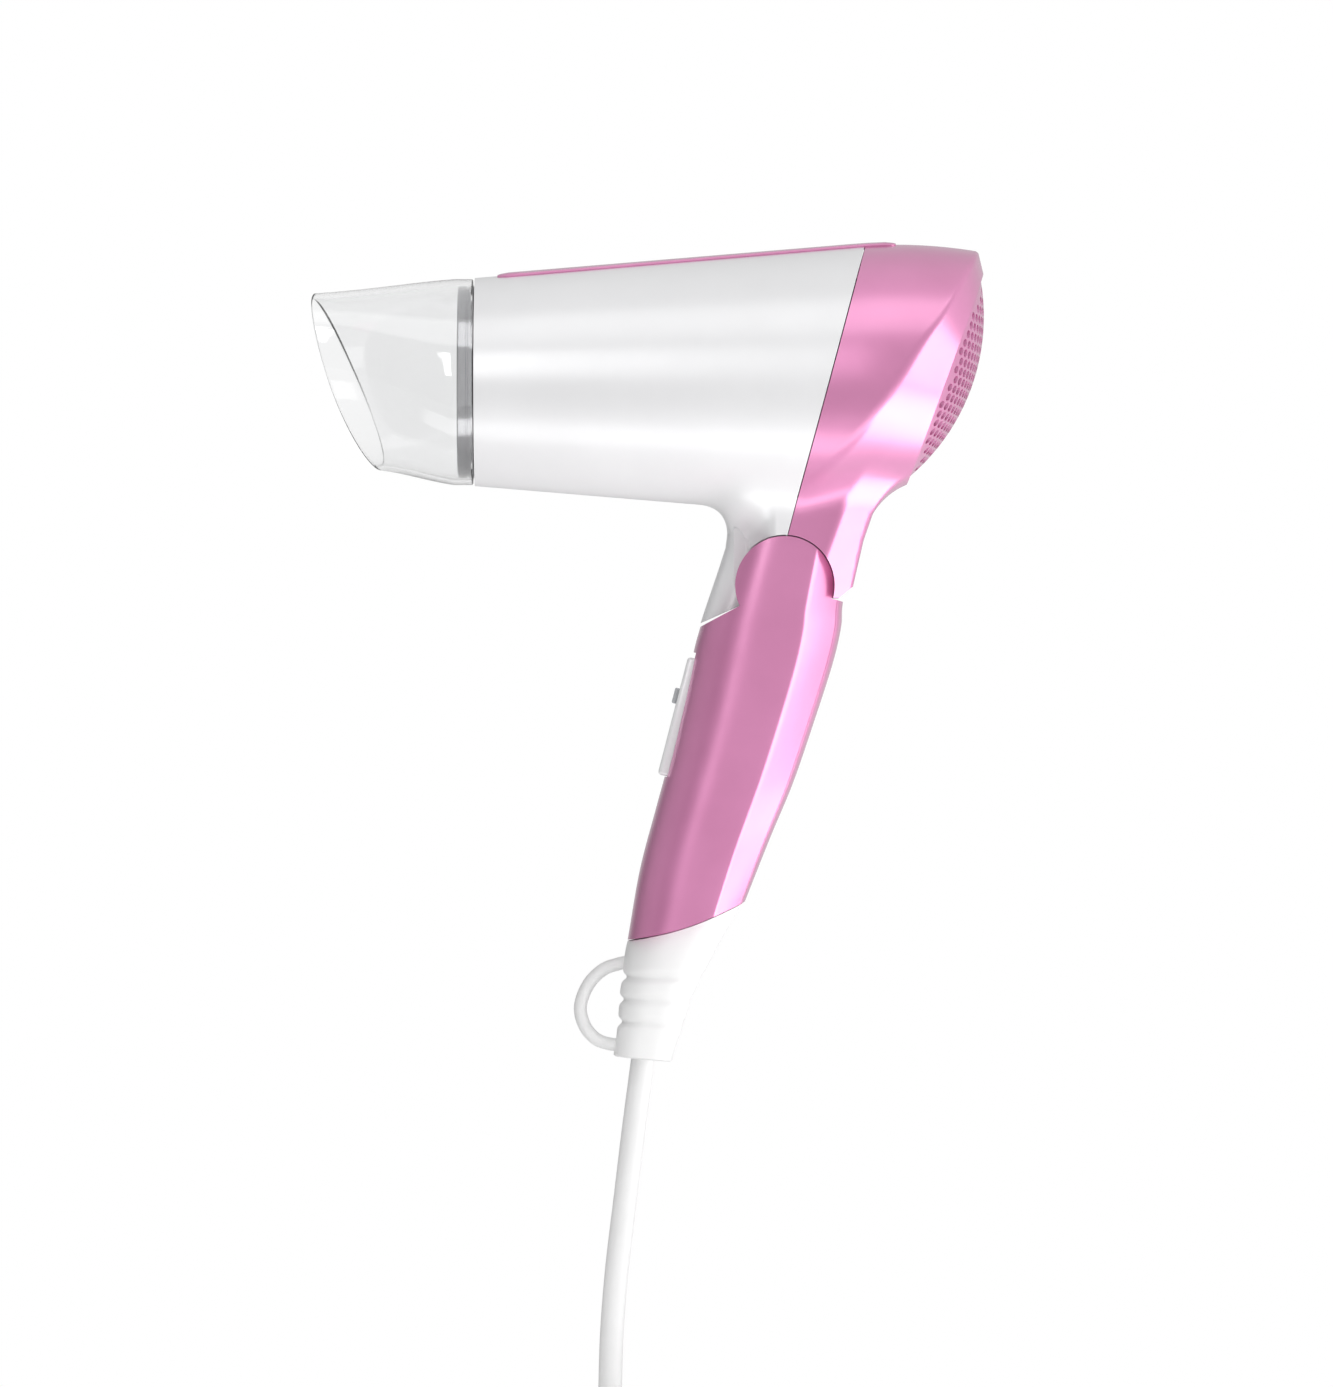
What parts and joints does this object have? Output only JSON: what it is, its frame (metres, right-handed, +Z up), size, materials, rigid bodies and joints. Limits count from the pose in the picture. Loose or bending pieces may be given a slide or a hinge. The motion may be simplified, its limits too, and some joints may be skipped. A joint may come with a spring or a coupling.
{
  "type": "hair dryer",
  "caption": "Folding travel hair dryer with a tapered barrel, clear concentrator nozzle, domed intake grille, slide switch, hanging loop and mains lead.",
  "frame": {"origin": "middle of the handle, where the hand holds it", "axes": "+Z up along the dryer with the barrel on top, the barrel blows towards -X, Y runs across the dryer along the fold hinge"},
  "size_m": [0.1873, 0.1268, 0.3585],
  "materials": {
    "pearl_white": "pearl gloss",
    "pink_metallic": "metallic pink gloss",
    "clear_plastic": "clear polished",
    "dark_metal": "dark satin",
    "dark_plastic": "satin",
    "mica": "pressed mica sheet",
    "heater_wire": "drawn wire",
    "steel": "satin",
    "brass": "plated",
    "circuit_board": "laminate",
    "grey_plastic": "satin",
    "yellow_plastic": "gloss",
    "white_cable": "soft PVC",
    "tie_fabric": "hook and loop"
  },
  "bodies": {
    "handle": {"handle_left": "pink_metallic", "handle_right": "pink_metallic", "handle_screw_1": "steel", "handle_screw_2": "steel", "hinge_bush": "grey_plastic", "friction_washer_left": "steel", "friction_washer_right": "steel", "switch_plate": "pearl_white", "switch_body": "dark_plastic", "suppression_capacitor": "yellow_plastic", "cord_boot": "white_cable", "cord": "white_cable", "cord_coil": "white_cable", "cord_tail": "white_cable", "cord_tie": "tie_fabric", "plug_body": "white_cable", "plug_pin_left": "brass", "plug_pin_right": "brass"},
    "barrel": {"front_housing": "pearl_white", "rear_housing": "pink_metallic", "top_trim": "pink_metallic", "rear_grille": "pink_metallic", "outlet_ring": "dark_metal", "outlet_grille": "dark_plastic", "mica_board_upright": "mica", "mica_board_level": "mica", "heater_coil": "heater_wire", "mica_sleeve": "mica", "thermostat": "steel", "thermal_fuse": "brass", "motor_holder": "dark_plastic", "motor": "steel", "rectifier_board": "circuit_board"},
    "nozzle": {"nozzle": "clear_plastic"},
    "fan": {"fan": "dark_plastic", "motor_shaft": "steel"},
    "switch": {"switch_knob": "grey_plastic"}
  },
  "joints": [
    {"name": "barrel_fold", "type": "hinge", "parent": "handle", "child": "barrel", "pos_m": [0.014, 0, 0.05], "axis": [0, -1, 0], "range_deg": [0, 70]},
    {"name": "nozzle_turn", "type": "hinge", "parent": "barrel", "child": "nozzle", "pos_m": [-0.076, 0, 0.1066], "axis": [1, 0, 0], "continuous": true},
    {"name": "fan_spin", "type": "hinge", "parent": "barrel", "child": "fan", "pos_m": [0.032, 0, 0.1066], "axis": [1, 0, 0], "continuous": true},
    {"name": "switch_slide", "type": "slide", "parent": "handle", "child": "switch", "axis": [-0.2504, 0, -0.9681], "range_m": [0, 0.011]}
  ]
}
